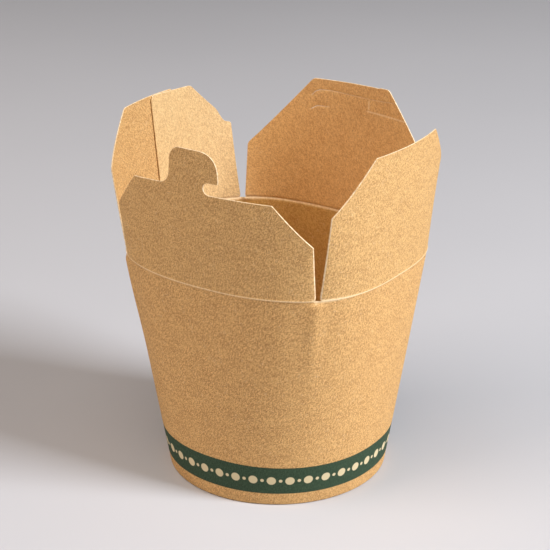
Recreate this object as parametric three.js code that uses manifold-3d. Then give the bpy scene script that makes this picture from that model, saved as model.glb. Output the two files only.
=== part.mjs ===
// Noodle takeaway box of folded kraft board, standing open and empty.
// A wall turns from a round foot into a rounded square at the crease, a dished base sits in the foot,
// and four flaps go on upwards from the crease, one on each side.
// Millimetres, +Z up, origin at the centre of the foot. The front flap, with the hook tab, faces -Y.

import * as THREE from "three";
import { mergeVertices } from "three/addons/utils/BufferGeometryUtils.js";
import Module from "manifold-3d";

// Board and clearance
const BOARD = 0.5;
const GAP = 0.3;

// Wall: a circle at the foot becomes a superellipse at the crease
const FOOT_RADIUS = 44.8;
const FOOT_POWER = 2;
const CREASE_HEIGHT = 93;
const CREASE_HALF_X = 56.3;
const CREASE_HALF_Y = 51;
const CREASE_POWER = 2.88;
// The crease sags a little along the middle of the front and the back
const CREASE_DIP = 1;

// Foot: the wall is turned in and up again round the skirt of the base
const LIP_HEIGHT = 5.6;
const BASE_HEIGHT = 7;
const SKIRT_INSET = 2 * BOARD + GAP;
const LIP_INSET = SKIRT_INSET + BOARD + GAP;

// Overlap of the two ends of the board, on the left side, as places along the crease. The second
// ply smooths out beyond the outer edge over a number of degrees.
const SEAM_INNER_EDGE = 1.5;
const SEAM_OUTER_EDGE = -10;
const SEAM_FADE = 14;

// Flaps: plan of each one at REACH above the crease, where middle and corner are measured outwards
const REACH = 46.5;
const FRONT_PLAN = { middle: 54.4, corner: 46.2, half: 46.7 };
const SIDE_PLAN = { middle: 60, corner: 51.3, half: 44 };
const BACK_PLAN = { middle: 56.2, corner: 46.1, half: 47.6 };

// Cut of each flap, as places across it and heights above the crease
const FRONT_CUT = { foot: 43.9, side: [44.8, 22.1], top: [31.3, 37.6] };
const SIDE_CUT = { foot: 38.9, side: [40.1, 33.6], top: [21.8, 52.7] };
const BACK_CUT = { foot: 43.5, side: [44.3, 23.6], top: [18.2, 53.6] };
const CORNER_ROUND = 1.2;
// Every cut starts below the lowest point of the crease
const CUT_START = -3;

// Hook tab of the front flap. Each corner is a curve from one place, bent towards a second, to a third.
const TAB_TOP = 54.5;
const HOOK_BOTTOM = 42.5;
const HOOK_GAP_CENTRE = 6;
const TAB_CORNERS = [
  { from: [8.7, HOOK_BOTTOM], towards: [10.1, HOOK_BOTTOM], to: [10.3, 46.5] },
  { from: [10.3, 46.5], towards: [9.9, TAB_TOP], to: [2, TAB_TOP] },
  { from: [-6.7, TAB_TOP], towards: [-11.3, 54.3], to: [-11.7, 49.5] },
  { from: [-12.1, 44], towards: [-12.9, 39], to: [-17.9, 38.7] },
];

// Slot of the back flap: a long upper slit that ends in a short bend, and a short lower one
const SLIT_WIDTH = 0.5;
const UPPER_SLIT = [[18.5, 46.4], [16.2, 48.3], [11, 49], [-8.4, 48.2], [-21.8, 48.8]];
const LOWER_SLIT = [[18.4, 40.4], [15.7, 41.9], [11.2, 42.1]];

// Notch at the top of the left flap's side edge, next to the back flap
const NOTCH = [[-34.1, 39.3], [-36, 35.4], [-37.2, 33.5], [-40, 32.9]];

// Colour and roughness of each piece
const FINISHES = {
  wall: { color: 0xb88a5a, roughness: 0.85 },
  base: { color: 0xa9784a, roughness: 0.8 },
  flap_front: { color: 0xbf9464, roughness: 0.85 },
  flap_right: { color: 0xc29868, roughness: 0.85 },
  flap_back: { color: 0xba8752, roughness: 0.85 },
  flap_left: { color: 0xc49a6a, roughness: 0.85 },
};

// Fineness of the facets
const WALL_COLUMNS = 72;
const WALL_ROWS = 6;
const FLAP_COLUMNS = 20;
const FLAP_ROWS = 4;
const CURVE_SEGMENTS = 5;
const SLIT_STEPS = 3;
// Angle that the step at a board edge takes, and how near to it, in columns, no other column lies
const EDGE_WIDTH = THREE.MathUtils.degToRad(0.06);
const EDGE_CLEARANCE = 0.25;
// Points closer than this are one point
const WELD = 1e-4;

const wasm = await Module();
wasm.setup();

// Side frames: n points outwards, t runs across the flap, centre is the angle of n round the axis
const SIDES = {
  front: { n: [0, -1], t: [1, 0], centre: -Math.PI / 2, plan: FRONT_PLAN },
  right: { n: [1, 0], t: [0, 1], centre: 0, plan: SIDE_PLAN },
  back: { n: [0, 1], t: [-1, 0], centre: Math.PI / 2, plan: BACK_PLAN },
  left: { n: [-1, 0], t: [0, -1], centre: Math.PI, plan: SIDE_PLAN },
};

// Angles of the two board edges at the overlap
const seamInnerAngle = Math.PI + Math.atan2(SEAM_INNER_EDGE, CREASE_HALF_X);
const seamOuterAngle = Math.PI + Math.atan2(SEAM_OUTER_EDGE, CREASE_HALF_X);
const seamFadeAngle = seamOuterAngle - THREE.MathUtils.degToRad(SEAM_FADE);

// Point of the wall's plan at a height, moved in by an inset
function wallPlan(height, angle, inset) {
  const t = height / CREASE_HEIGHT;
  const power = THREE.MathUtils.lerp(FOOT_POWER, CREASE_POWER, t);
  const halfX = THREE.MathUtils.lerp(FOOT_RADIUS, CREASE_HALF_X, t) - inset;
  const halfY = THREE.MathUtils.lerp(FOOT_RADIUS, CREASE_HALF_Y, t) - inset;
  const c = Math.cos(angle);
  const s = Math.sin(angle);
  const r = (Math.abs(c) ** power + Math.abs(s) ** power) ** (-1 / power);
  return [halfX * r * c, halfY * r * s];
}

// Height of the crease at an angle: lower along the middle of the front and the back
function creaseHeight(angle) {
  const onFrontOrBack = Math.abs(Math.sin(angle)) > Math.abs(Math.cos(angle));
  const dip = onFrontOrBack ? CREASE_DIP * Math.cos(2 * angle) ** 2 : 0;
  return CREASE_HEIGHT - dip;
}

// How far the board's outer and inner faces lie in from the outline, which steps at the overlap
function plies(angle) {
  const turn = THREE.MathUtils.euclideanModulo(angle, 2 * Math.PI);
  if (turn > seamInnerAngle || turn < seamFadeAngle) return { outer: 0, inner: BOARD };
  if (turn > seamOuterAngle) return { outer: 0, inner: 2 * BOARD };
  const fade = THREE.MathUtils.smoothstep(turn, seamFadeAngle, seamOuterAngle);
  return { outer: BOARD * fade, inner: BOARD * (1 + fade) };
}

// Angles of the columns from one angle to another, with a close pair at each step of the overlap
function columnAngles(from, to, count, closed) {
  const angles = [];
  for (let i = 0; i < count + (closed ? 0 : 1); i += 1) {
    angles.push(from + ((to - from) * i) / count);
  }
  const clear = ((to - from) / count) * EDGE_CLEARANCE;
  for (const edge of [seamInnerAngle, seamOuterAngle]) {
    const near = angles.findIndex((angle) => Math.abs(angle - edge) < clear);
    if (near >= 0) angles.splice(near, 1);
    if (edge > from && edge < to) angles.push(edge - EDGE_WIDTH / 2, edge + EDGE_WIDTH / 2);
  }
  return angles.sort((a, b) => a - b);
}

// Solid made of loops of points, each joined to the next. The loops close on each other, or a fan
// closes the first and the last one. Loops turn so that the faces point outwards.
function loopSolid(loops, closed) {
  const size = loops[0].length;
  const points = loops.flat();
  const faces = [];
  const last = closed ? loops.length : loops.length - 1;
  for (let i = 0; i < last; i += 1) {
    const here = i * size;
    const next = ((i + 1) % loops.length) * size;
    for (let j = 0; j < size; j += 1) {
      const k = (j + 1) % size;
      faces.push(here + j, next + j, next + k, here + j, next + k, here + k);
    }
  }
  if (!closed) {
    for (const [loop, flip] of [[0, false], [loops.length - 1, true]]) {
      const middle = new THREE.Vector3();
      loops[loop].forEach((p) => middle.add(p));
      points.push(middle.divideScalar(size));
      for (let j = 0; j < size; j += 1) {
        const a = loop * size + j;
        const b = loop * size + ((j + 1) % size);
        faces.push(points.length - 1, flip ? b : a, flip ? a : b);
      }
    }
  }
  const geometry = new THREE.BufferGeometry().setFromPoints(points);
  geometry.setIndex(faces);
  return geometry;
}

function toSolid(geometry) {
  const bare = geometry.clone();
  bare.deleteAttribute("normal");
  bare.deleteAttribute("uv");
  const merged = mergeVertices(bare, WELD);
  const vertProperties = new Float32Array(merged.attributes.position.array);
  const triVerts = new Uint32Array(merged.index.array);
  return new wasm.Manifold(new wasm.Mesh({ numProp: 3, vertProperties, triVerts }));
}

function toGeometry(solid) {
  const mesh = solid.getMesh();
  const geometry = new THREE.BufferGeometry();
  geometry.setAttribute("position", new THREE.BufferAttribute(mesh.vertProperties, 3));
  geometry.setIndex(new THREE.BufferAttribute(mesh.triVerts, 1));
  geometry.computeVertexNormals();
  return geometry;
}

// Wall: its section goes up the outer face, down the inner one, round the skirt and up the lip
function wallGeometry() {
  const loops = columnAngles(0, 2 * Math.PI, WALL_COLUMNS, true).map((angle) => {
    const { outer, inner } = plies(angle);
    const rim = creaseHeight(angle);
    const at = (height, inset) => new THREE.Vector3(...wallPlan(height, angle, inset), height);
    const section = [];
    for (let row = 0; row <= WALL_ROWS; row += 1) section.push(at((rim * row) / WALL_ROWS, outer));
    for (let row = WALL_ROWS; row >= 1; row -= 1) section.push(at((rim * row) / WALL_ROWS, inner));
    section.push(at(BOARD, inner), at(BOARD, LIP_INSET), at(LIP_HEIGHT, LIP_INSET));
    section.push(at(LIP_HEIGHT, LIP_INSET + BOARD), at(0, LIP_INSET + BOARD));
    return section;
  });
  return loopSolid(loops, true);
}

// Base: a disc with its rim turned down into the fold of the foot
function baseGeometry() {
  const angles = columnAngles(0, 2 * Math.PI, WALL_COLUMNS, true);
  const ring = (height, inset) =>
    angles.map((angle) => new THREE.Vector3(...wallPlan(height, angle, inset), height));
  const skirtFoot = BOARD + GAP;
  return loopSolid([
    ring(BASE_HEIGHT, SKIRT_INSET),
    ring(skirtFoot, SKIRT_INSET),
    ring(skirtFoot, SKIRT_INSET + BOARD),
    ring(BASE_HEIGHT - BOARD, SKIRT_INSET + BOARD),
  ], false);
}

// Point of a flap's face: straight lines lead from the crease to the plan at REACH
function flapPoint(side, angle, height, inset) {
  const { n, t, plan } = side;
  const dot = (p, v) => p[0] * v[0] + p[1] * v[1];
  const foot = wallPlan(CREASE_HEIGHT, angle, inset);
  const end = wallPlan(CREASE_HEIGHT, side.centre + Math.PI / 4, inset);
  const share = dot(foot, t) / dot(end, t);
  const lean = (height - CREASE_HEIGHT) / REACH;
  const outTop = plan.middle - inset - (plan.middle - plan.corner) * share ** 2;
  const across = THREE.MathUtils.lerp(dot(foot, t), plan.half * share, lean);
  const out = THREE.MathUtils.lerp(dot(foot, n), outTop, lean);
  return new THREE.Vector3(across * t[0] + out * n[0], across * t[1] + out * n[1], height);
}

// Uncut flap: a curved sheet from just above the crease to above the highest cut
function flapBlank(side) {
  const top = CREASE_HEIGHT + TAB_TOP + BOARD;
  const from = side.centre - Math.PI / 4;
  const to = side.centre + Math.PI / 4;
  const loops = columnAngles(from, to, FLAP_COLUMNS, false).map((angle) => {
    const { outer, inner } = plies(angle);
    const foot = creaseHeight(angle) + GAP;
    const section = [];
    for (let row = 0; row <= FLAP_ROWS; row += 1) {
      section.push(flapPoint(side, angle, foot + ((top - foot) * row) / FLAP_ROWS, outer));
    }
    for (let row = FLAP_ROWS; row >= 0; row -= 1) {
      section.push(flapPoint(side, angle, foot + ((top - foot) * row) / FLAP_ROWS, inner));
    }
    return section;
  });
  return loopSolid(loops, false);
}

// Prism that stands across a flap, from an outline drawn in its own across and height places
function flapPrism(side, shape) {
  const depth = 2 * CREASE_HALF_X;
  const options = { depth, bevelEnabled: false, curveSegments: CURVE_SEGMENTS };
  const across = new THREE.Vector3(side.t[0], side.t[1], 0);
  const up = new THREE.Vector3(0, 0, 1);
  const out = new THREE.Vector3(side.n[0], side.n[1], 0);
  const place = new THREE.Matrix4().makeBasis(across, up, out).setPosition(0, 0, CREASE_HEIGHT);
  return toSolid(new THREE.ExtrudeGeometry(shape, options).applyMatrix4(place));
}

// Closed outline with each corner rounded by a short curve
function roundedShape(corners, round) {
  const shape = new THREE.Shape();
  const points = corners.map(([x, y]) => new THREE.Vector2(x, y));
  points.forEach((corner, i) => {
    const before = points[(i + points.length - 1) % points.length];
    const after = points[(i + 1) % points.length];
    const back = before.clone().sub(corner);
    const ahead = after.clone().sub(corner);
    const size = Math.min(round, back.length() / 2, ahead.length() / 2);
    const start = corner.clone().add(back.setLength(size));
    const finish = corner.clone().add(ahead.setLength(size));
    if (i === 0) shape.moveTo(start.x, start.y);
    else shape.lineTo(start.x, start.y);
    shape.quadraticCurveTo(corner.x, corner.y, finish.x, finish.y);
  });
  shape.closePath();
  return shape;
}

// Outline of a plain flap: straight sides, a diagonal at each corner and a level top
function plainCorners({ foot, side, top }) {
  return [
    [foot, CUT_START], side, top,
    [-top[0], top[1]], [-side[0], side[1]], [-foot, CUT_START],
  ];
}

// Front flap: its top carries the hook tab, with a rounded gap under the hook
function frontShape() {
  const { foot, side, top } = FRONT_CUT;
  const shoulder = top[1];
  const gapRadius = (HOOK_BOTTOM - shoulder) / 2;
  const shape = new THREE.Shape();
  shape.moveTo(-foot, CUT_START);
  shape.lineTo(foot, CUT_START);
  shape.lineTo(...side);
  shape.lineTo(...top);
  shape.lineTo(HOOK_GAP_CENTRE, shoulder);
  shape.absarc(HOOK_GAP_CENTRE, shoulder + gapRadius, gapRadius, -Math.PI / 2, Math.PI / 2, true);
  for (const { from, towards, to } of TAB_CORNERS) {
    shape.lineTo(...from);
    shape.quadraticCurveTo(...towards, ...to);
  }
  shape.lineTo(-top[0], shoulder);
  shape.lineTo(-side[0], side[1]);
  shape.closePath();
  return shape;
}

// Left flap: the plain cut with a notch in the side edge that is next to the back
function leftShape() {
  const [lowRight, rightSide, rightTop, leftTop, , lowLeft] = plainCorners(SIDE_CUT);
  return roundedShape([lowRight, rightSide, rightTop, leftTop, ...NOTCH, lowLeft], CORNER_ROUND);
}

// Thin slit along a smooth line
function slitShape(places) {
  const line = new THREE.SplineCurve(places.map(([x, y]) => new THREE.Vector2(x, y)));
  const middle = line.getPoints(SLIT_STEPS * (places.length - 1));
  const half = SLIT_WIDTH / 2;
  const above = middle.map((p) => new THREE.Vector2(p.x, p.y + half));
  const below = middle.map((p) => new THREE.Vector2(p.x, p.y - half)).reverse();
  return new THREE.Shape([...above, ...below]);
}

function cutFlap(side, shape, slits = []) {
  let solid = toSolid(flapBlank(side)).intersect(flapPrism(side, shape));
  for (const slit of slits) solid = solid.subtract(flapPrism(side, slitShape(slit)));
  return toGeometry(solid);
}

function plainShape(cut) {
  return roundedShape(plainCorners(cut), CORNER_ROUND);
}

function named(name, geometry) {
  const mesh = new THREE.Mesh(geometry, new THREE.MeshStandardMaterial(FINISHES[name]));
  mesh.name = name;
  return mesh;
}

const box = new THREE.Group();
box.add(
  named("wall", wallGeometry()),
  named("base", baseGeometry()),
  named("flap_front", cutFlap(SIDES.front, frontShape())),
  named("flap_right", cutFlap(SIDES.right, plainShape(SIDE_CUT))),
  named("flap_back", cutFlap(SIDES.back, plainShape(BACK_CUT), [UPPER_SLIT, LOWER_SLIT])),
  named("flap_left", cutFlap(SIDES.left, leftShape())),
);

export default box;
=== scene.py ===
"""Noodle takeaway box of folded kraft board, standing open and empty, with its finishes, light and camera.

Lengths are metres and +Z is up. The front flap, with the hook tab, faces -Y, and the origin is the centre
of the round foot. A flap is drawn by its places across it and by its heights above the crease.
"""

import logging
import math
from dataclasses import dataclass, replace
from enum import Enum
from functools import cache

import bpy
import numpy as np
from mathutils import Matrix, Vector
from mathutils.geometry import delaunay_2d_cdt


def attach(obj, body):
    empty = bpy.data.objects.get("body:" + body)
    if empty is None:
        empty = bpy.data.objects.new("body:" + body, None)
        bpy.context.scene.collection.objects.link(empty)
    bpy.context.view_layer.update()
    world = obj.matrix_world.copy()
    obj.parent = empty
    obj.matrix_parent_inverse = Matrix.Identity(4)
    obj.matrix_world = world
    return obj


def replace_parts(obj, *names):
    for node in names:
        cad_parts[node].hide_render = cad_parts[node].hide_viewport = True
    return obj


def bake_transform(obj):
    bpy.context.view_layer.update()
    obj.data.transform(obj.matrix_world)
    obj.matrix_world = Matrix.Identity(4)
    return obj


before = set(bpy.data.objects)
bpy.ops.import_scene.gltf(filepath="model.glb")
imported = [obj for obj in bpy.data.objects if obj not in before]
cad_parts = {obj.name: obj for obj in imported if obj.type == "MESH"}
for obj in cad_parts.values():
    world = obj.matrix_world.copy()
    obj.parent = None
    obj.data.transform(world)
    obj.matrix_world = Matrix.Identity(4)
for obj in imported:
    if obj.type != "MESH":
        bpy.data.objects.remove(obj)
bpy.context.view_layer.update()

Array = np.ndarray
Socket = bpy.types.NodeSocket
Colour = tuple[float, float, float, float]
Span = tuple[float, ...]

MM = 0.001
FOLD_ATTRIBUTE = "fold"
UV_NAME = "board"
SHARP_ANGLE = math.radians(30)
EDGE_PAIR = math.radians(0.03)
LIGHT_AIM = 70 * MM

# Distances from the crease, in millimetres, of the rows of points that wall and flaps share.
CREASE_ROWS = (0.12, 0.25, 0.4, 0.55, 0.8, 1.15, 1.7)

log = logging.getLogger("takeaway_box")


def smoothstep(low: float, high: float, value: Array) -> Array:
    """Goes from 0 to 1 between two values with level ends: 3 t squared minus 2 t cubed."""
    t = np.clip((value - low) / (high - low), 0, 1)
    return t * t * (3 - 2 * t)


def hump(distance: Array, width: float) -> Array:
    """Bell curve: e to the minus square of distance over width."""
    return np.exp(-((distance / width) ** 2))


def lerp(start: Array, end: Array, share: Array) -> Array:
    """Straight line from start to end."""
    return start + (end - start) * share


def linked(name: str, data: bpy.types.ID) -> bpy.types.Object:
    """Makes an object and puts it in the scene, at the origin.

    Args:
        name: Name of the object.
        data: Its mesh, light or camera.

    Returns:
        The object.
    """
    made = bpy.data.objects.new(name, data)
    bpy.context.scene.collection.objects.link(made)
    return made


@dataclass(frozen=True)
class BoxForm:
    """Driving sizes that the wall, the base and the flaps share.

    Insets are distances in from the outline. Along the crease the score is the low ridge outside and the bead
    the one inside, and the fold sizes are those of the worn line on the score. The ridge sizes are those of
    the wall's pressed corner below each slit. The reach is the height at which a flap's plan is given.
    """

    board: float = 0.5 * MM
    foot_radius: float = 44.8 * MM
    foot_power: float = 2.0
    crease_height: float = 93 * MM
    crease_half_x: float = 56.3 * MM
    crease_half_y: float = 51 * MM
    crease_power: float = 2.88
    crease_dip: float = 1 * MM
    lip_height: float = 5.6 * MM
    base_height: float = 7 * MM
    skirt_inset: float = 1.3 * MM
    lip_inset: float = 2.1 * MM
    seam_inner_edge: float = 1.5 * MM
    seam_outer_edge: float = -10 * MM
    seam_fade: float = math.radians(14)
    score_height: float = 0.2 * MM
    score_width: float = 0.42 * MM
    bead_height: float = 0.45 * MM
    bead_width: float = 0.55 * MM
    ridge_height: float = 0.95 * MM
    ridge_width: float = 3.1 * MM
    ridge_top: float = 2.4 * MM
    ridge_fade: tuple[float, float] = (6 * MM, 46 * MM)
    fold_wear: float = 0.95
    fold_width: float = 0.18 * MM
    fold_growth: float = 2.2
    fold_reach: float = 14 * MM
    slit_wear_width: float = 0.7 * MM
    bead_wear: float = 0.95
    bead_wear_reach: float = 5 * MM
    reach: float = 46.5 * MM

    @property
    def seam_inner_angle(self) -> float:
        """Angle of the free edge of the inner ply."""
        return math.pi + math.atan2(self.seam_inner_edge, self.crease_half_x)

    @property
    def seam_outer_angle(self) -> float:
        """Angle of the free edge of the outer ply."""
        return math.pi + math.atan2(self.seam_outer_edge, self.crease_half_x)

    def plan(self, height: Array, angle: Array, inset: Array) -> Array:
        """Points of the wall's plan, a circle at the foot that becomes a superellipse at the crease.

        With p the power at the height, the point is (half x times r cos a, half y times r sin a), where
        r is (|cos a| to the p + |sin a| to the p) to the -1/p. Power and half widths grow with height.

        Args:
            height: Height above the foot.
            angle: Angle round the axis, from +X.
            inset: Distance that the point lies in from the outline.

        Returns:
            The points, with x, y and z along the last axis.
        """
        height, angle, inset = np.broadcast_arrays(height, angle, inset)
        t = height / self.crease_height
        power = lerp(self.foot_power, self.crease_power, t)
        half_x = lerp(self.foot_radius, self.crease_half_x, t) - inset
        half_y = lerp(self.foot_radius, self.crease_half_y, t) - inset
        c, s = np.cos(angle), np.sin(angle)
        r = (np.abs(c) ** power + np.abs(s) ** power) ** (-1 / power)
        return np.stack([half_x * r * c, half_y * r * s, height], axis=-1)

    def crease(self, angle: Array) -> Array:
        """Height of the crease: lower by the dip times cos squared of twice the angle at front and back."""
        front_or_back = np.abs(np.sin(angle)) > np.abs(np.cos(angle))
        return self.crease_height - self.crease_dip * front_or_back * np.cos(2 * angle) ** 2

    def from_corner(self, angle: Array) -> Array:
        """Distance along the crease from the nearest corner."""
        return np.abs((angle % (math.pi / 2)) - math.pi / 4) * self.crease_half_x

    def ridge(self, angle: Array, below: Array) -> Array:
        """How far a corner of the wall is pressed out below its slit: a bell curve that fades downwards."""
        fade = smoothstep(0, self.ridge_top, below) * (1 - smoothstep(*self.ridge_fade, below))
        return self.ridge_height * fade * hump(self.from_corner(angle), self.ridge_width)

    def worn_width(self, angle: Array) -> Array:
        """Half width of the pale line along the crease: wider next to the slits at the side flaps.

        Args:
            angle: Angles round the axis.

        Returns:
            The fold width, times 1 plus the growth times a bell curve from the corner on at the side flaps.
        """
        side = np.abs(np.cos(angle)) > np.abs(np.sin(angle))
        near = side * hump(self.from_corner(angle), self.fold_reach)
        return self.fold_width * (1 + self.fold_growth * near)

    def bead_wear_width(self, angle: Array) -> Array:
        """Half width of the worn line on the bead inside the crease: wider at the ends of the slits."""
        return self.bead_width * (1 + hump(self.from_corner(angle), self.bead_wear_reach))

    def second_ply(self, angle: Array) -> Array:
        """How much of a board's thickness the ply that passes inside lies in, from 0 to 1."""
        return smoothstep(self.seam_outer_angle - self.seam_fade, self.seam_outer_angle, angle)


@dataclass(frozen=True)
class FlapPlan:
    """Plan of a flap at the reach above the crease, measured outwards from the axis of the box."""

    middle: float
    corner: float
    half: float


class Side(Enum):
    """Side of the box, by the direction that it faces."""

    FRONT = (0.0, -1.0)
    RIGHT = (1.0, 0.0)
    BACK = (0.0, 1.0)
    LEFT = (-1.0, 0.0)

    @property
    def out(self) -> Array:
        """Direction that points outwards."""
        return np.array([*self.value, 0.0])

    @property
    def across(self) -> Array:
        """Direction across the flap, a quarter turn on from outwards."""
        return np.array([-self.value[1], self.value[0], 0.0])

    @property
    def angle(self) -> float:
        """Angle of the direction outwards, from +X."""
        return math.atan2(self.value[1], self.value[0])


class Graph:
    """Nodes of one material, made by short calls that return sockets."""

    def __init__(self, name: str) -> None:
        """Makes the material and finds its shader.

        Args:
            name: Name of the material.
        """
        self.material = bpy.data.materials.new(name)
        self.material.use_nodes = True
        self.tree = self.material.node_tree
        self.shader = self.tree.nodes["Principled BSDF"]

    def add(self, kind: str, inputs: dict[str | int, object], **settings: object) -> bpy.types.Node:
        """Adds a node.

        Args:
            kind: The node's type.
            inputs: A socket or a value for each named or numbered input.
            settings: The node's own options.

        Returns:
            The node.
        """
        node = self.tree.nodes.new(kind)
        for option, value in settings.items():
            setattr(node, option, value)
        for name, value in inputs.items():
            self.put(node.inputs[name], value)
        return node

    def put(self, target: Socket, value: object) -> None:
        """Links a socket to an input, or sets the input's own value.

        Args:
            target: The input.
            value: A socket of another node, or a number, colour or vector.
        """
        if isinstance(value, bpy.types.NodeSocket):
            self.tree.links.new(value, target)
        else:
            target.default_value = value

    def math(self, operation: str, a: object, b: object = 0.0, c: object = 0.0) -> Socket:
        """Result of one sum."""
        return self.add("ShaderNodeMath", {0: a, 1: b, 2: c}, operation=operation).outputs[0]

    def span(self, value: object, low: float, high: float, start: float = 0.0, end: float = 1.0) -> Socket:
        """Value carried smoothly from one range to another, and held at its ends."""
        inputs = {"Value": value, "From Min": low, "From Max": high, "To Min": start, "To Max": end}
        return self.add("ShaderNodeMapRange", inputs, interpolation_type="SMOOTHSTEP").outputs[0]

    def mix(self, share: object, first: object, second: object) -> Socket:
        """Colour between two colours."""
        inputs = {"Factor": share, 6: first, 7: second}
        return self.add("ShaderNodeMix", inputs, data_type="RGBA").outputs[2]

    def scaled(
        self, vector: Socket, scale: tuple[float, float, float], shift: float = 0.0, turn: float = 0.0
    ) -> Socket:
        """Vector scaled along its axes, turned about Z, and shifted alike along all axes."""
        inputs = {"Vector": vector, "Scale": scale, "Location": (shift,) * 3, "Rotation": (0, 0, turn)}
        return self.add("ShaderNodeMapping", inputs).outputs[0]

    def noise(self, vector: Socket, scale: float, detail: float, roughness: float = 0.5) -> Socket:
        """Soft noise from 0 to 1."""
        inputs = {"Vector": vector, "Scale": scale, "Detail": detail, "Roughness": roughness}
        return self.add("ShaderNodeTexNoise", inputs).outputs[0]


@dataclass(frozen=True)
class Layer:
    """One noise in the tone of the board."""

    scale: float
    weight: float
    detail: float = 2.0
    roughness: float = 0.6


@dataclass(frozen=True)
class KraftFinish:
    """Unbleached board: cloudy tone, short fibres, dark flecks and pale hairs, paler where it is folded.

    Scales are for a place in millimetres. A span gives the low and the high end of a value, and then, where
    they are not 0 and 1, what the two ends become.
    """

    name: str
    dark: Colour
    light: Colour
    roughness: float
    coat: float = 0.0
    coat_roughness: float = 0.35
    pale: Colour = (0.95, 0.76, 0.47, 1.0)
    fleck: Colour = (0.2, 0.105, 0.045, 1.0)
    pattern_shift: float = 0.0
    cloud: Layer = Layer(0.16, 0.3, 3.0, 0.5)
    grain: Layer = Layer(1.9, 1.5, 3.0, 0.65)
    fine: Layer = Layer(4.2, 2.4)
    streak: Layer = Layer(1.0, 1.1)
    wisp: Layer = Layer(0.9, 1.1)
    streak_stretch: tuple[float, float, float] = (2.4, 0.7, 1.4)
    wisp_turn: float = math.radians(38)
    tone_span: Span = (0.08, 0.92)
    fleck_scale: float = 0.42
    fleck_size: Span = (0.05, 0.13, 1.0, 0.0)
    fleck_chance: Span = (0.5, 0.9, 0.0, 0.6)
    hair_scale: float = 0.5
    hair_size: Span = (0.0, 0.012, 0.28, 0.0)
    hair_patch_scale: float = 0.3
    hair_patch: Span = (0.45, 0.6)
    worn_span: Span = (0.6, 1.3, 0.55, 1.0)
    gloss_span: Span = (0.6, 1.4)
    gloss_change: float = 0.06
    bump_height: float = 0.05 * MM
    bump_strength: float = 0.8

    def colour(self, graph: Graph, place: Socket) -> tuple[Socket, Socket]:
        """Builds the board's colour.

        Args:
            graph: The material's nodes.
            place: Place on the board, in millimetres.

        Returns:
            The colour, and the grain that the bump uses.
        """
        stretched = graph.scaled(place, self.streak_stretch)
        turned = graph.scaled(graph.scaled(place, (1, 1, 1), turn=self.wisp_turn), self.streak_stretch)
        layers = (self.cloud, self.grain, self.fine, self.streak, self.wisp)
        noises = [
            graph.noise(where, layer.scale, layer.detail, layer.roughness)
            for where, layer in zip((place, place, place, stretched, turned), layers)
        ]
        tone: Socket | float = 0.5 - sum(layer.weight for layer in layers) / 2
        for noise, layer in zip(noises, layers):
            tone = graph.math("MULTIPLY_ADD", noise, layer.weight, tone)
        colour = graph.mix(graph.span(tone, *self.tone_span), self.dark, self.light)
        colour = graph.mix(self.hairs(graph, place), colour, self.pale)
        colour = graph.mix(self.flecks(graph, place), colour, self.fleck)
        _, grain, _, streak, _ = noises
        return colour, graph.math("ADD", grain, streak)

    def flecks(self, graph: Graph, place: Socket) -> Socket:
        """Small dark dots: near the points of scattered cells, in some of the cells.

        Args:
            graph: The material's nodes.
            place: Place on the board, in millimetres.

        Returns:
            Share of the flecks' colour, from 0 to 1.
        """
        cells = graph.add("ShaderNodeTexVoronoi", {"Vector": place, "Scale": self.fleck_scale})
        chance = graph.add("ShaderNodeSeparateColor", {"Color": cells.outputs["Color"]}).outputs[0]
        near = graph.span(cells.outputs["Distance"], *self.fleck_size)
        return graph.math("MULTIPLY", near, graph.span(chance, *self.fleck_chance))

    def hairs(self, graph: Graph, place: Socket) -> Socket:
        """Pale curled fibres: narrow bands where a noise passes its middle value.

        Args:
            graph: The material's nodes.
            place: Place on the board, in millimetres.

        Returns:
            Share of the fibres' colour, from 0 to 1.
        """
        field = graph.noise(place, self.hair_scale, 2.0, 0.4)
        off = graph.math("ABSOLUTE", graph.math("SUBTRACT", field, 0.5))
        patch = graph.noise(place, self.hair_patch_scale, 1.0)
        return graph.math("MULTIPLY", graph.span(off, *self.hair_size), graph.span(patch, *self.hair_patch))

    def place(self, graph: Graph) -> Socket:
        """Place on the board in millimetres, from the board's own flat coordinates."""
        uv = graph.add("ShaderNodeUVMap", {}, uv_map=UV_NAME).outputs[0]
        return graph.scaled(uv, (1 / MM, 1 / MM, 1 / MM), self.pattern_shift)

    def finished(self, graph: Graph, colour: Socket, grain: Socket) -> bpy.types.Material:
        """Adds the paler folds, the bump and the gloss.

        Args:
            graph: The material's nodes.
            colour: The colour away from the folds.
            grain: Grain that raises the surface.

        Returns:
            The material.
        """
        fold = graph.add("ShaderNodeAttribute", {}, attribute_name=FOLD_ATTRIBUTE).outputs["Fac"]
        worn = graph.math("MULTIPLY", fold, graph.span(grain, *self.worn_span))
        bump = {"Strength": self.bump_strength, "Distance": self.bump_height, "Height": grain}
        dull, glossy = self.roughness + self.gloss_change, self.roughness - self.gloss_change
        looks = {
            "Base Color": graph.mix(worn, colour, self.pale),
            "Normal": graph.add("ShaderNodeBump", bump).outputs[0],
            "Roughness": graph.span(grain, *self.gloss_span, dull, glossy),
            "Coat Weight": self.coat,
            "Coat Roughness": self.coat_roughness,
        }
        for name, value in looks.items():
            graph.put(graph.shader.inputs[name], value)
        return graph.material

    @cache
    def make(self) -> bpy.types.Material:
        """Makes the material, once for all the pieces that have it."""
        graph = Graph(self.name)
        return self.finished(graph, *self.colour(graph, self.place(graph)))


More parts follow.
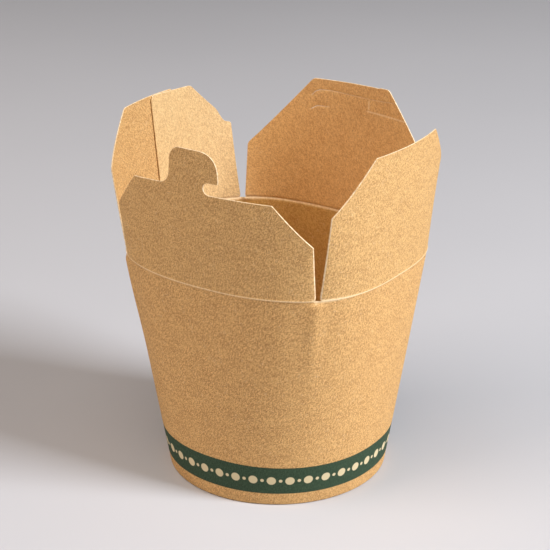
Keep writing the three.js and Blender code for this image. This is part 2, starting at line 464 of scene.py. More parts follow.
@dataclass(frozen=True)
class PrintedFinish(KraftFinish):
    """Kraft board with a dark green band above the foot, and plain pale dots on it, large and small by turns.

    Sizes are in millimetres. A row of dots has its shift along the band, in pitches, and its radius.
    """

    ink: Colour = (0.014, 0.038, 0.015, 1.0)
    worn_ink: Colour = (0.036, 0.078, 0.034, 1.0)
    pale_ink: Colour = (0.68, 0.57, 0.34, 1.0)
    band_low: float = 5.7
    band_high: float = 18.0
    edge: float = 0.12
    dot_pitch: float = 7.2
    dot_count: int = 40
    dot_rows: tuple[tuple[float, float], ...] = ((0.0, 1.8), (0.5, 0.7))
    wear_span: Span = (0.75, 1.35)

    def dots(self, graph: Graph, turn: Socket, rise: Socket, shift: float, radius: float) -> Socket:
        """Row of round dots: 1 where the root of along squared plus rise squared is less than the radius.

        Args:
            graph: The material's nodes.
            turn: Place along the band, in pitches.
            rise: Height above the middle of the band.
            shift: How far the row is moved along the band, in pitches.
            radius: Radius of a dot.

        Returns:
            Share of the dots, from 0 to 1.
        """
        part = graph.math("FRACT", graph.math("ADD", turn, shift))
        along = graph.math("MULTIPLY", graph.math("SUBTRACT", part, 0.5), self.dot_pitch)
        square = graph.math("MULTIPLY_ADD", along, along, graph.math("MULTIPLY", rise, rise))
        return graph.span(graph.math("SQRT", square), radius - self.edge, radius + self.edge, 1.0, 0.0)

    def band(self, graph: Graph, place: Socket, ragged: Socket) -> tuple[Socket, Socket]:
        """Places the band and its dots.

        Args:
            graph: The material's nodes.
            place: Place on the board, in millimetres.
            ragged: Grain that roughens the edges of the ink.

        Returns:
            Share of the band and share of the dots, from 0 to 1.
        """
        parts = graph.add("ShaderNodeSeparateXYZ", {0: place})
        up = graph.math("MULTIPLY_ADD", ragged, self.edge, parts.outputs[1])
        above = graph.span(up, self.band_low - self.edge, self.band_low + self.edge)
        below = graph.span(up, self.band_high - self.edge, self.band_high + self.edge, 1.0, 0.0)
        turn = graph.math("DIVIDE", parts.outputs[0], self.dot_pitch)
        rise = graph.math("SUBTRACT", up, (self.band_low + self.band_high) / 2)
        rows = [self.dots(graph, turn, rise, shift, radius) for shift, radius in self.dot_rows]
        return graph.math("MULTIPLY", above, below), graph.math("MAXIMUM", *rows)

    @cache
    def make(self) -> bpy.types.Material:
        """Makes the material, once for all the pieces that have it.

        Returns:
            The material.
        """
        graph = Graph(self.name)
        place = self.place(graph)
        colour, grain = self.colour(graph, place)
        band, dots = self.band(graph, place, grain)
        ink = graph.mix(graph.span(grain, *self.wear_span), self.ink, self.worn_ink)
        colour = graph.mix(band, colour, graph.mix(dots, ink, self.pale_ink))
        return self.finished(graph, colour, grain)


@dataclass(frozen=True)
class PlainFinish:
    """Plain matte surface with a faint cloud in its tone."""

    name: str
    dark: Colour
    light: Colour
    roughness: float
    scale: float
    tone_span: Span = (0.3, 0.7)

    @cache
    def make(self) -> bpy.types.Material:
        """Makes the material, once for all the pieces that have it.

        Returns:
            The material.
        """
        graph = Graph(self.name)
        place = graph.add("ShaderNodeTexCoord", {}).outputs["Object"]
        cloud = graph.noise(place, self.scale, 3.0)
        colour = graph.mix(graph.span(cloud, *self.tone_span), self.dark, self.light)
        graph.put(graph.shader.inputs["Base Color"], colour)
        graph.put(graph.shader.inputs["Roughness"], self.roughness)
        return graph.material


OUTSIDE = KraftFinish("kraft_outside", (0.35, 0.177, 0.053, 1.0), (0.8, 0.502, 0.195, 1.0), 0.78)
# Inside board of the flaps, a fifth to a quarter lighter than the wall's copy below and most of all in blue:
# painted light on the flaps' inner faces.
INSIDE = KraftFinish(
    "kraft_inside", (0.57, 0.295, 0.098, 1.0), (0.86, 0.54, 0.21, 1.0), 0.62, coat=0.06, pattern_shift=37.0
)
# Darker copy of the inside board, for the inside of the wall and the top of the base: painted shade inside
# the box.
INSIDE_SHADED = replace(
    INSIDE, name="kraft_inside_shaded", pattern_shift=83.0,
    dark=(0.48, 0.245, 0.058, 1.0), light=(0.69, 0.42, 0.125, 1.0),
)
INSIDE_PALE = replace(
    INSIDE, name="kraft_inside_pale", pattern_shift=61.0,
    dark=(0.53, 0.335, 0.145, 1.0), light=(0.84, 0.6, 0.28, 1.0),
)
# Board of the wall, with the green band: its tones are a few percent lighter in red than OUTSIDE's, painted
# light that stands in for light bounced up onto the wall.
PRINTED_BRIGHTENED = PrintedFinish("kraft_printed_brightened", (0.366, 0.179, 0.052, 1.0), (0.825, 0.504, 0.191, 1.0), 0.78)
CUT_EDGE = PlainFinish("cut_edge", (0.7, 0.5, 0.27, 1.0), (0.95, 0.79, 0.52, 1.0), 0.9, 900.0)
FLOOR = PlainFinish("pale_floor", (0.56, 0.58, 0.61, 1.0), (0.59, 0.61, 0.64, 1.0), 0.7, 2.0)


@dataclass
class MeshParts:
    """Points and faces of one piece, with the material, the flat coordinates and the fold of each."""

    points: Array
    triangles: Array
    quads: Array
    triangle_finish: Array
    quad_finish: Array
    uv: Array
    fold: Array

    def make(self, name: str, finishes: list[bpy.types.Material]) -> bpy.types.Object:
        """Makes the object, smooth except across sharp edges.

        Args:
            name: The piece's name.
            finishes: Materials that the finish numbers stand for.

        Returns:
            The object, at the origin.
        """
        mesh = bpy.data.meshes.new(name)
        mesh.from_pydata(self.points.tolist(), [], self.triangles.tolist() + self.quads.tolist())
        for finish in finishes:
            mesh.materials.append(finish)
        numbers = np.concatenate([self.triangle_finish, self.quad_finish]).astype(np.int32)
        mesh.polygons.foreach_set("material_index", numbers)
        mesh.polygons.foreach_set("use_smooth", np.ones(len(numbers), bool))
        corner = np.empty(len(mesh.loops), np.int32)
        mesh.loops.foreach_get("vertex_index", corner)
        layer = mesh.uv_layers.new(name=UV_NAME)
        layer.data.foreach_set("uv", self.uv[corner].astype(np.float32).ravel())
        attribute = mesh.attributes.new(FOLD_ATTRIBUTE, "FLOAT", "POINT")
        attribute.data.foreach_set("value", self.fold.astype(np.float32))
        mesh.set_sharp_from_angle(angle=SHARP_ANGLE)
        mesh.update()
        return linked(name, mesh)


def ring_quads(rings: int, size: int) -> Array:
    """Quads of a grid of rings that close on themselves both ways.

    Args:
        rings: Number of rings.
        size: Number of points in a ring.

    Returns:
        Four point numbers for each quad, ring by ring.
    """
    ring, place = np.meshgrid(np.arange(rings), np.arange(size), indexing="ij")
    next_ring, next_place = (ring + 1) % rings, (place + 1) % size
    corners = [
        ring * size + place, next_ring * size + place, next_ring * size + next_place, ring * size + next_place
    ]
    return np.stack(corners, axis=-1).reshape(-1, 4)


def column_angles(form: BoxForm, step: float, fine_step: float, fine_reach: float) -> Array:
    """Angles of the columns: even, with finer ones at the four corners and a close pair at each ply's edge.

    Args:
        form: Sizes of the box.
        step: Angle between columns.
        fine_step: Angle between columns near a corner.
        fine_reach: How far from a corner the finer columns go.

    Returns:
        The angles in order, within one turn.
    """
    even = np.arange(0, 2 * math.pi - step / 2, step)
    near = np.arange(-fine_reach, fine_reach + fine_step / 2, fine_step)
    corners = math.pi / 4 + math.pi / 2 * np.arange(4)
    even = even[np.abs(even[:, None] - corners).min(1) > fine_reach + step / 4]
    fine = (corners[:, None] + near).ravel()
    edges = np.array([form.seam_inner_angle, form.seam_outer_angle])
    angles = np.concatenate([even, fine])
    angles = angles[np.abs(angles[:, None] - edges).min(1) > step / 3]
    return np.sort(np.concatenate([angles, edges - EDGE_PAIR, edges + EDGE_PAIR]))


@dataclass
class Wall:
    """Wall of the box: one board, rolled with an overlap on the left and turned in and up at the foot."""

    form: BoxForm
    name: str = "wall_board"
    bend_radius: float = 0.9 * MM
    bend_steps: int = 5
    row_step: float = 3.5 * MM
    crease_rows: tuple[float, ...] = (2.6, *CREASE_ROWS[::-1], 0.0)
    column_step: float = math.radians(1.25)
    fine_step: float = math.radians(0.25)
    fine_reach: float = math.radians(2.25)
    slit_ends: tuple[float, float] = (0.26 * MM, 1.3 * MM)

    def flap_share(self, angle: Array) -> Array:
        """1 along the foot of a flap and 0 in the slits between the flaps."""
        return smoothstep(*self.slit_ends, self.form.from_corner(angle))

    def section(self, angle: Array) -> tuple[Array, Array, int]:
        """Insets and heights round the section, one row of each for each point of the section.

        The section goes up the outer face, down the inner one, round the inside of the fold at the foot, up
        and down the lip, and back under the foot. Near the crease the outer face has a low ridge and
        the inner one a bead, both of them bell curves. The bends are quarter circles.

        Args:
            angle: Angles of the columns.

        Returns:
            Insets, heights, and the number of points on the outer face.
        """
        form = self.form
        board = form.board
        turn = angle % (2 * math.pi)
        outer_ply = turn > form.seam_outer_angle
        overlap = outer_ply & (turn < form.seam_inner_angle)
        outer = np.where(outer_ply, 0.0, board * form.second_ply(turn))
        inner = outer + board + board * overlap
        rim = form.crease(angle)
        near = np.array(self.crease_rows) * MM
        low = self.bend_radius
        rows = np.linspace(0, 1, round((form.crease_height - low) / self.row_step))[:-1]
        high = rim - near[0]
        heights = np.concatenate([low + rows[:, None] * (high - low), rim - near[:, None]])
        below = rim - heights
        share = self.flap_share(angle)
        ridge = form.ridge(angle, below)
        outside = outer - ridge - form.score_height * share * hump(below, form.score_width)
        inside = inner - ridge - form.bead_height * share * hump(below, form.bead_width)
        quarter = np.linspace(0, math.pi / 2, self.bend_steps + 1)[:, None]
        big, small = self.bend_radius, self.bend_radius - board
        lip_outer = form.lip_inset + board
        strips = [
            (outside, heights),
            (inside[::-1], heights[::-1]),
            (np.maximum(outer + big - small * np.cos(quarter), inner), big - small * np.sin(quarter)),
            (lip_outer - big + small * np.sin(quarter), big - small * np.cos(quarter)),
            (np.array([[form.lip_inset], [lip_outer]]), form.lip_height),
            (lip_outer - big + big * np.cos(quarter), big - big * np.sin(quarter)),
            (outer + big - big * np.sin(quarter[:-1]), big - big * np.cos(quarter[:-1])),
        ]
        grids = [np.broadcast_arrays(inset, height, angle) for inset, height in strips]
        insets, tops = (np.concatenate([grid[axis] for grid in grids]) for axis in (0, 1))
        return insets, tops, len(heights)

    def build(self) -> MeshParts:
        """Works out the wall as one grid of columns and section points.

        Returns:
            The wall's parts, with finish 0 outside, 1 inside, 2 on the rim and 3 on the lip.
        """
        form = self.form
        angle = column_angles(form, self.column_step, self.fine_step, self.fine_reach)
        insets, heights, faces = self.section(angle)
        points = form.plan(heights, angle, insets).transpose(1, 0, 2)
        columns, size = points.shape[:2]
        quads = ring_quads(columns, size)
        place = np.tile(np.arange(size), columns)
        finish = np.where(place < faces - 1, 0, 1)
        finish[place == faces - 1] = 2
        finish[place > 2 * faces] = 3
        below = form.crease(angle)[:, None] - heights.T
        share = self.flap_share(angle)[:, None]
        inside = np.arange(size) >= faces
        width = np.maximum(form.worn_width(angle)[:, None], lerp(form.slit_wear_width, 0, share))
        worn_in = form.bead_wear * hump(below, form.bead_wear_width(angle)[:, None])
        fold = np.where(inside, worn_in, form.fold_wear * hump(below, width))
        turn = (angle - form.seam_outer_angle) % (2 * math.pi) / (2 * math.pi)
        along = turn * PRINTED_BRIGHTENED.dot_pitch * PRINTED_BRIGHTENED.dot_count * MM
        uv = np.stack(np.broadcast_arrays(along[:, None], heights.T), axis=-1)
        no_triangles = np.zeros((0, 3), int)
        return MeshParts(
            points.reshape(-1, 3), no_triangles, quads, np.zeros(0), finish, uv.reshape(-1, 2), fold.ravel()
        )

    def dress(self) -> bpy.types.Object:
        """Makes the wall with its finishes and puts it on its body.

        Returns:
            The wall.
        """
        # The wall's inside takes the darker copy of the inside board, which is painted shade.
        finishes = [PRINTED_BRIGHTENED.make(), INSIDE_SHADED.make(), CUT_EDGE.make(), OUTSIDE.make()]
        wall = self.build().make(self.name, finishes)
        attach(wall, "box")
        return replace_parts(wall, "wall")


@dataclass
class Base:
    """Base of the box: a disc of board with its rim turned down into the fold of the foot."""

    form: BoxForm
    name: str = "base_board"
    columns: int = 180
    rim_radius: float = 1.0 * MM
    dish: float = 0.25 * MM
    bend_steps: int = 5
    flat_rings: int = 12
    first_ring: float = 0.08
    skirt_gap: float = 0.3 * MM

    def build(self) -> MeshParts:
        """Works out the base as rings from the middle of its top, over the skirt, to the middle below.

        The disc sags to its middle by the dish times 1 minus the radius share squared, and its rim is a
        quarter circle that leads down into the skirt.

        Returns:
            The base's parts, with finish 0 above, 1 below and on the skirt.
        """
        form = self.form
        radius = form.foot_radius - form.skirt_inset
        quarter = np.linspace(0, math.pi / 2, self.bend_steps + 1)
        flat = np.linspace(self.first_ring, 1, self.flat_rings) * (radius - self.rim_radius)
        top_inset = radius - flat
        top = form.base_height - self.dish * (1 - (flat / flat[-1]) ** 2)
        inner_radius = self.rim_radius - form.board
        bend_inset = self.rim_radius * (1 - np.sin(quarter))
        bend_top = form.base_height - self.rim_radius * (1 - np.cos(quarter))
        skirt_foot = form.board + self.skirt_gap
        low_inset = form.board + inner_radius * (1 - np.sin(quarter[::-1]))
        low_top = form.base_height - self.rim_radius + inner_radius * np.cos(quarter[::-1])
        inset = np.concatenate([top_inset[:-1], bend_inset, [0, form.board], low_inset, top_inset[:-1][::-1]])
        height = np.concatenate([top[:-1], bend_top, [skirt_foot] * 2, low_top, top[:-1][::-1] - form.board])
        angle = np.arange(self.columns) * 2 * math.pi / self.columns
        edge = form.plan(height[:, None], angle, form.skirt_inset)
        share = 1 - inset / radius
        points = edge * np.stack([share, share, np.ones_like(share)], axis=-1)[:, None]
        size, rings = self.columns, len(height)
        middles = [[0, 0, form.base_height - self.dish], [0, 0, form.base_height - self.dish - form.board]]
        here = np.arange(size)
        after = (here + 1) % size
        last = (rings - 1) * size
        upper = np.stack([np.full(size, rings * size), here, after], axis=-1)
        lower = np.stack([np.full(size, rings * size + 1), last + after, last + here], axis=-1)
        quads = ring_quads(rings, size)[: (rings - 1) * size]
        all_points = np.concatenate([points.reshape(-1, 3), middles])
        finish = (np.arange((rings - 1) * size) // size >= len(flat) + self.bend_steps).astype(int)
        triangle_finish = np.repeat([0, 1], size)
        return MeshParts(
            all_points, np.concatenate([upper, lower]), quads, triangle_finish, finish,
            all_points[:, :2], np.zeros(len(all_points)),
        )

    def dress(self) -> bpy.types.Object:
        """Makes the base with its finishes and puts it on its body.

        Returns:
            The base.
        """
        # The top of the base takes the darker copy of the inside board, which is painted shade.
        base = self.build().make(self.name, [INSIDE_SHADED.make(), OUTSIDE.make()])
        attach(base, "box")
        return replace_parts(base, "base")


def bent(start: Array, towards: Array, end: Array, steps: int = 10) -> Array:
    """Curve bent towards a point: (1 - t) squared start + 2 t (1 - t) towards + t squared end."""
    t = np.linspace(0, 1, steps + 1)[:, None]
    return (1 - t) ** 2 * np.array(start) + 2 * t * (1 - t) * np.array(towards) + t**2 * np.array(end)


def smooth_line(places: Array, steps: int = 8) -> Array:
    """Smooth line through places: at each one it runs along the chord of its neighbours.

    Between two places it is a cubic: the places weighted by 2 t cubed - 3 t squared + 1 and by 3 t squared
    - 2 t cubed, plus the slopes at them, weighted by t cubed - 2 t squared + t and by t cubed - t squared.

    Args:
        places: Places that the line passes through.
        steps: Steps from one place to the next.

    Returns:
        Points of the line.
    """
    places = np.array(places)
    slope = np.gradient(places, axis=0)
    t = np.linspace(0, 1, steps, endpoint=False)[None, :, None]
    a, b, u, v = places[:-1, None], places[1:, None], slope[:-1, None], slope[1:, None]
    line = (2 * t**3 - 3 * t**2 + 1) * a + (t**3 - 2 * t**2 + t) * u + (3 * t**2 - 2 * t**3) * b
    line = line + (t**3 - t**2) * v
    return np.concatenate([line.reshape(-1, 2), places[-1:]])


def spaced(line: Array, step: float) -> Array:
    """Line with its own points kept and others added between them, no more than a step apart.

    Args:
        line: Points of the line.
        step: Greatest distance between points.

    Returns:
        The points, with the added ones on the straight stretches.
    """
    gaps = np.linalg.norm(np.diff(line, axis=0), axis=1)
    along = np.concatenate([[0], np.cumsum(gaps)])
    counts = np.ceil(gaps / step).astype(int)
    stations = np.concatenate([
        np.linspace(a, b, n, endpoint=False) for a, b, n in zip(along[:-1], along[1:], counts)
    ] + [along[-1:]])
    return np.stack([np.interp(stations, along, line[:, axis]) for axis in (0, 1)], axis=-1)


def beside(ring: Array, distance: float, closed: bool = True) -> Array:
    """Line that runs to the left of another at a distance, square to its direction at each point.

    Args:
        ring: Points of the other line.
        distance: Distance to the left, or below 0 to the right.
        closed: Whether the last point is next to the first.

    Returns:
        As many points.
    """
    if closed:
        way = np.roll(ring, -1, axis=0) - np.roll(ring, 1, axis=0)
    else:
        way = np.gradient(ring, axis=0)
    way = way / np.linalg.norm(way, axis=1, keepdims=True)
    return ring + distance * np.stack([-way[:, 1], way[:, 0]], axis=-1)


def within(points: Array, ring: Array) -> Array:
    """Which points lie inside a closed ring: a level line from each crosses it an odd number of times.

    Args:
        points: The points.
        ring: Points of the ring.

    Returns:
        True for each point inside.
    """
    a, b = ring, np.roll(ring, -1, axis=0)
    x, y = points[:, :1], points[:, 1:]
    spans = (a[:, 1] > y) != (b[:, 1] > y)
    rise = np.where(b[:, 1] == a[:, 1], 1.0, b[:, 1] - a[:, 1])
    crossing = a[:, 0] + (y - a[:, 1]) * (b[:, 0] - a[:, 0]) / rise
    return (spans & (x < crossing)).sum(1) % 2 == 1


def triangulated(rings: list[Array], others: Array) -> tuple[Array, Array]:
    """Triangles that fill the first ring round the other ones, worked out in millimetres.

    Args:
        rings: The outline, turning left, and the holes in it.
        others: Points between them.

    Returns:
        All the points, the rings' own first, and the triangles, turning left.
    """
    points = np.concatenate([*rings, others])
    starts = np.cumsum([0, *map(len, rings)])
    edges = [
        (int(start + i), int(start + (i + 1) % len(ring)))
        for start, ring in zip(starts, rings) for i in range(len(ring))
    ]
    flat = [Vector(point) for point in (points / MM).tolist()]
    inside_only, closeness = 1, 1e-7
    found = delaunay_2d_cdt(flat, edges, [], inside_only, closeness)
    if len(found[0]) != len(points):
        raise ValueError("two points of a flap's sheet are the same")
    triangles = np.array(found[2], int)
    centres = points[triangles].mean(1)
    keep = within(centres, rings[0])
    for hole in rings[1:]:
        keep &= ~within(centres, hole)
    triangles = triangles[keep]
    a, b, c = (points[triangles[:, i]] for i in range(3))
    area = (b[:, 0] - a[:, 0]) * (c[:, 1] - a[:, 1]) - (b[:, 1] - a[:, 1]) * (c[:, 0] - a[:, 0])
    triangles[area < 0] = triangles[area < 0][:, ::-1]
    return points, triangles


@dataclass
class Flap:
    """Flap of plain cut: straight sides, a diagonal at each corner and a level top.

    Its corners are places across the flap and above the crease, and its finishes those outside and inside.
    The foot lift keeps the lowest points of the faces just off the rim along the crease.
    """

    form: BoxForm
    side: Side
    name: str
    node: str
    body: str
    plan: FlapPlan
    foot: float
    side_corner: tuple[float, float]
    top_corner: tuple[float, float]
    finishes: tuple[KraftFinish, KraftFinish] = (OUTSIDE, INSIDE)
    corner_round: float = 1.2 * MM
    corner_steps: int = 5
    chamfer: float = 0.08 * MM
    mark_height: float = 0.08 * MM
    step: float = 1.4 * MM
    crease_rows: tuple[float, ...] = (*CREASE_ROWS, 2.5)
    first_row: float = 3.6 * MM
    row_fade: float = 10 * MM
    foot_lift: float = 0.01 * MM
    bend_reach: float = 9 * MM

    @property
    def halves(self) -> tuple[float, float]:
        """Half widths of the crease across the flap and outwards from the axis."""
        halves = (self.form.crease_half_x, self.form.crease_half_y)
        return halves[::-1] if self.side.value[0] else halves

    @property
    def foot_ends(self) -> tuple[float, float]:
        """Ends of the lower edge, across the flap."""
        return -self.foot, self.foot

    def foot_point(self, across: Array, height: Array, inset: Array) -> tuple[Array, Array, Array]:
        """Follows the straight line of the board down to the crease.

        Args:
            across: Places across the flap.
            height: Heights above the crease.
            inset: Distance that the points lie in from the outer face.

        Returns:
            The line's share of the way to the corner, and its place across and outwards at the crease.
        """
        form = self.form
        half_across, half_out = (half - inset for half in self.halves)
        corner = half_across * 2 ** (-1 / form.crease_power)
        share = across / lerp(corner, self.plan.half, height / form.reach)
        foot = share * corner
        out = half_out * (1 - np.abs(foot / half_across) ** form.crease_power) ** (1 / form.crease_power)
        return share, foot, out

    def place(self, across: Array, height: Array, inset: Array) -> Array:
        """Points of the flap: straight lines lead from the crease to a parabola at the reach above it.

        Args:
            across: Places across the flap.
            height: Heights above the crease.
            inset: Distance that the points lie in from the outer face.

        Returns:
            The points.
        """
        share, _, out = self.foot_point(across, height, inset)
        plan = self.plan
        top_out = plan.middle - inset - (plan.middle - plan.corner) * share**2
        out = lerp(out, top_out, height / self.form.reach)
        up = np.array([0, 0, 1.0])
        flat = across[:, None] * self.side.across + out[:, None] * self.side.out
        return flat + (self.form.crease_height + height)[:, None] * up

    def angle(self, across: Array, height: Array) -> Array:
        """Angle of the columns that the points stand on.

        Args:
            across: Places across the flap.
            height: Heights above the crease.

        Returns:
            Angles round the axis, with those of the flap's own side in one run.
        """
        _, foot, out = self.foot_point(across, height, np.zeros_like(across))
        half_across, half_out = self.halves
        return self.side.angle % (2 * math.pi) + np.arctan2(foot / half_across, out / half_out)

    def crease(self, across: Array) -> Array:
        """Height of the crease below the flap, from its level at the corners."""
        return self.form.crease(self.angle(across, np.zeros_like(across))) - self.form.crease_height

    def foot_line(self) -> Array:
        """Lower edge of the flap, along the crease.

        Returns:
            Points from left to right.
        """
        start, end = self.foot_ends
        across = np.linspace(start, end, round((end - start) / self.step) + 1)
        return np.stack([across, self.crease(across)], axis=-1)

    def rounded(self, corners: list[tuple[float, float]]) -> Array:
        """Line from the first place to the last, with the corners between them rounded.

        Args:
            corners: Places across the flap and above the crease.

        Returns:
            Points of the line, with a bend at each corner.
        """
        places = np.array(corners)
        parts = [places[:1]]
        for before, corner, after in zip(places[:-2], places[1:-1], places[2:]):
            back, ahead = before - corner, after - corner
            reach = min(self.corner_round, np.hypot(*back) / 2, np.hypot(*ahead) / 2)
            start, end = (corner + reach * way / np.hypot(*way) for way in (back, ahead))
            parts.append(bent(start, corner, end, self.corner_steps))
        return np.concatenate([*parts, places[-1:]])

    def upper_line(self) -> Array:
        """Edge of the flap above the crease, from right to left.

        Returns:
            Points of the edge.
        """
        (wide, low), (narrow, high) = self.side_corner, self.top_corner
        half = [(self.foot, 0.0), (wide, low), (narrow, high)]
        return self.rounded(half + [(-across, height) for across, height in half[::-1]])

    def cuts(self) -> list[Array]:
        """Closed cuts through the flap, turning right."""
        return []

    def marks(self) -> tuple[Array, Array]:
        """Points that are pressed or worn, and how much."""
        return np.zeros((0, 2)), np.zeros(0)

    def cut_wear(self, across: Array) -> Array:
        """How much the edges of a cut are worn at places across the flap."""
        return np.ones_like(across)

    def outer_inset(self, across: Array, height: Array) -> Array:
        """How far the outer face lies in from the outline."""
        return np.zeros_like(across)

    def grid(self, ring: Array, others: Array) -> Array:
        """Points inside the outline: columns above the foot's points, in rows that are closer at the foot.

        Args:
            ring: The outline.
            others: Points that the grid keeps clear of, as it does of the outline.

        Returns:
            Places across the flap and above the crease.
        """
        foot = self.foot_line()[1:-1]
        near = np.array(self.crease_rows) * MM
        rows = np.concatenate([near, np.arange(self.first_row, ring[:, 1].max(), self.step)])
        fade = np.clip(1 - rows / self.row_fade, 0, 1)
        across = foot[:, 0] * np.ones_like(rows)[:, None]
        points = np.stack([across, rows[:, None] + fade[:, None] * foot[:, 1]], axis=-1).reshape(-1, 2)
        points = points[within(points, ring)]
        bounds = np.concatenate([ring[len(foot) + 1 :], others])
        apart = np.linalg.norm(points[:, None] - bounds[None], axis=-1).min(1)
        return points[apart > 0.5 * self.step]

    def faces(self, flat: Array, mark: Array) -> tuple[Array, Array, Array, Array]:
        """Insets and wear of the two faces.

        At the crease the outer face has a low ridge and the inner one a bead, both of them bell curves.

        Args:
            flat: Places across and heights above the crease.
            mark: How far each point is pressed in.

        Returns:
            Inset outside, inset inside, wear outside and wear inside.
        """
        form = self.form
        across, height = flat.T
        above = height - self.crease(np.clip(across, -self.foot, self.foot))
        outer = self.outer_inset(across, height)
        outside = outer - form.score_height * hump(above, form.score_width)
        inside = outer + form.board - form.bead_height * hump(above, form.bead_width)
        foot_angle = self.angle(across, np.zeros_like(across))
        worn_out = np.maximum(form.fold_wear * hump(above, form.worn_width(foot_angle)), mark)
        worn_in = np.maximum(form.bead_wear * hump(above, form.bead_wear_width(foot_angle)), mark)
        return outside, inside - self.mark_height * mark, worn_out, worn_in

    def rim_finish(self, rim: Array, outline_size: int) -> Array:
        """Finishes of the three strips round the rims: cut edge on the outline, inside board in the cuts."""
        return np.tile(np.where(np.arange(len(rim)) < outline_size, 2, 1), 3)

    def build(self) -> MeshParts:
        """Works out the flap: two faces over the same triangles, and a chamfered rim round each ring.

        Returns:
            The flap's parts, with finish 0 outside, 1 inside and 2 on its edges.
        """
        edge = spaced(self.upper_line(), self.step)
        rims = [np.concatenate([self.foot_line(), edge[1:-1]]), *self.cuts()]
        rings = [beside(rim, self.chamfer) for rim in rims]
        foot_size = len(self.foot_line())
        rings[0][:foot_size] = rims[0][:foot_size] + [0, self.foot_lift]
        marked, strength = self.marks()
        others = np.concatenate([*rings[1:], marked])
        flat, triangles = triangulated(rings, np.concatenate([marked, self.grid(rings[0], others)]))
        ring_size = sum(map(len, rings))
        mark = np.zeros(len(flat))
        cuts = slice(len(rings[0]), ring_size)
        mark[cuts] = self.cut_wear(flat[cuts, 0])
        mark[ring_size : ring_size + len(marked)] = strength
        rim = np.concatenate(rims)
        rim_mark = mark[:ring_size]
        outside, inside, worn_out, worn_in = self.faces(flat, mark)
        rim_out, rim_in, rim_worn, _ = self.faces(rim, rim_mark)
        points = np.concatenate([
            self.place(*flat.T, outside), self.place(*flat.T, inside),
            self.place(*rim.T, rim_out + self.chamfer), self.place(*rim.T, rim_in - self.chamfer),
        ])
        count = len(flat)
        outer_rim, inner_rim = 2 * count, 2 * count + ring_size
        starts = np.cumsum([0, *map(len, rings)])
        here = np.arange(ring_size)
        after = np.concatenate([
            start + np.roll(np.arange(len(ring)), -1) for start, ring in zip(starts, rings)
        ])
        levels = [0, outer_rim, inner_rim, count]
        quads = np.concatenate([
            np.stack([first + after, first + here, second + here, second + after], axis=-1)
            for first, second in zip(levels[:-1], levels[1:])
        ])
        uv_start = [self.side.angle * self.form.crease_half_x, self.form.crease_height]
        uv = np.concatenate([flat, flat, rim, rim]) + uv_start
        return MeshParts(
            points, np.concatenate([triangles, count + triangles[:, ::-1]]), quads,
            np.repeat([0, 1], len(triangles)), self.rim_finish(rim, len(rims[0])), uv,
            np.concatenate([worn_out, worn_in, rim_worn, rim_worn]),
        )

    def dress(self) -> bpy.types.Object:
        """Makes the flap with its finishes, in place.

        Returns:
            The flap.
        """
        flap = self.build().make(self.name, [finish.make() for finish in (*self.finishes, CUT_EDGE)])
        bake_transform(flap)
        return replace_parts(flap, self.node)


@dataclass
class FrontFlap(Flap):
    """Front flap, with the hook tab at its top and a rounded gap under the hook.

    The tab's outline is a row of bends, each with its start, the place that it bends towards, and its end.
    Their places are in millimetres, across the flap and above the crease.
    """

    tab_top: float = 54.5
    hook_bottom: float = 42.5
    tab_bends: tuple = (
        ((9.4, hook_bottom), (10.2, hook_bottom), (10.35, 43.7)),
        ((10.3, 46.5), (9.9, tab_top), (2.0, tab_top)),
        ((-6.7, tab_top), (-10.9, 53.5), (-11.6, 48.6)),
        ((-12.1, 44.0), (-12.9, 39.0), (-17.9, 38.7)),
    )
    hook_steps: int = 6
    gap_centre: float = 6 * MM
    gap_points: int = 13

    def upper_line(self) -> Array:
        """Edge of the flap above the crease, from right to left round the tab.

        Returns:
            Points of the edge.
        """
        (wide, low), (narrow, shoulder) = self.side_corner, self.top_corner
        radius = (self.hook_bottom * MM - shoulder) / 2
        turn = np.linspace(-math.pi / 2, -3 * math.pi / 2, self.gap_points)
        gap = np.stack([radius * np.cos(turn), radius * np.sin(turn)], axis=-1)
        hook, *tab = np.array(self.tab_bends) * MM
        return np.concatenate([
            [(self.foot, 0.0), (wide, low), (narrow, shoulder)],
            gap + [self.gap_centre, shoulder + radius],
            bent(*hook, self.hook_steps),
            *(bent(*bend) for bend in tab),
            [(-narrow, shoulder), (-wide, low), (-self.foot, 0.0)],
        ])


